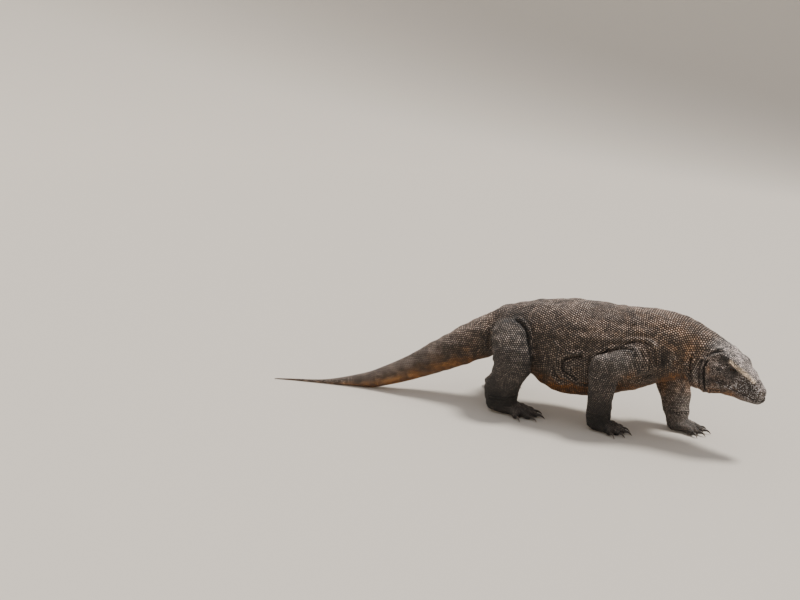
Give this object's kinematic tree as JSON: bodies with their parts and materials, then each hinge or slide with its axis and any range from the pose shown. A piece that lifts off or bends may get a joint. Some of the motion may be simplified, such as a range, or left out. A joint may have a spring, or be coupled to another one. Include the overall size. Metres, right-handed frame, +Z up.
{
  "type": "komodo dragon",
  "caption": "Life-size still model of a komodo dragon walking, head low and turned a little to its right, tail curved and lying on the floor.",
  "frame": {"origin": "on the floor, under the middle of the animal's bounding box", "axes": "+X towards the snout, +Y to the animal's left, +Z up"},
  "size_m": [2.6672, 0.759, 0.6653],
  "materials": {
    "skin": "dull scaly hide, grey-brown with tan scale tops",
    "head_skin": "blue-grey scaly hide with cream spots",
    "foot_skin": "dark dusty hide with horn-coloured claws",
    "eye": "wet dark brown"
  },
  "bodies": {
    "root": {"tail_tip": "skin", "tail_end": "skin", "tail_middle": "skin", "tail_base": "skin", "pelvis": "skin", "abdomen": "skin", "chest": "skin", "neck": "skin", "head": "head_skin", "jaw": "head_skin", "eye_right": "eye", "eye_left": "eye", "hind_right_thigh": "skin", "hind_right_shank": "skin", "hind_right_foot": "foot_skin", "hind_left_thigh": "skin", "hind_left_shank": "skin", "hind_left_foot": "foot_skin", "fore_right_upper_arm": "skin", "fore_right_forearm": "skin", "fore_right_foot": "foot_skin", "fore_left_upper_arm": "skin", "fore_left_forearm": "skin", "fore_left_foot": "foot_skin"}
  },
  "joints": []
}
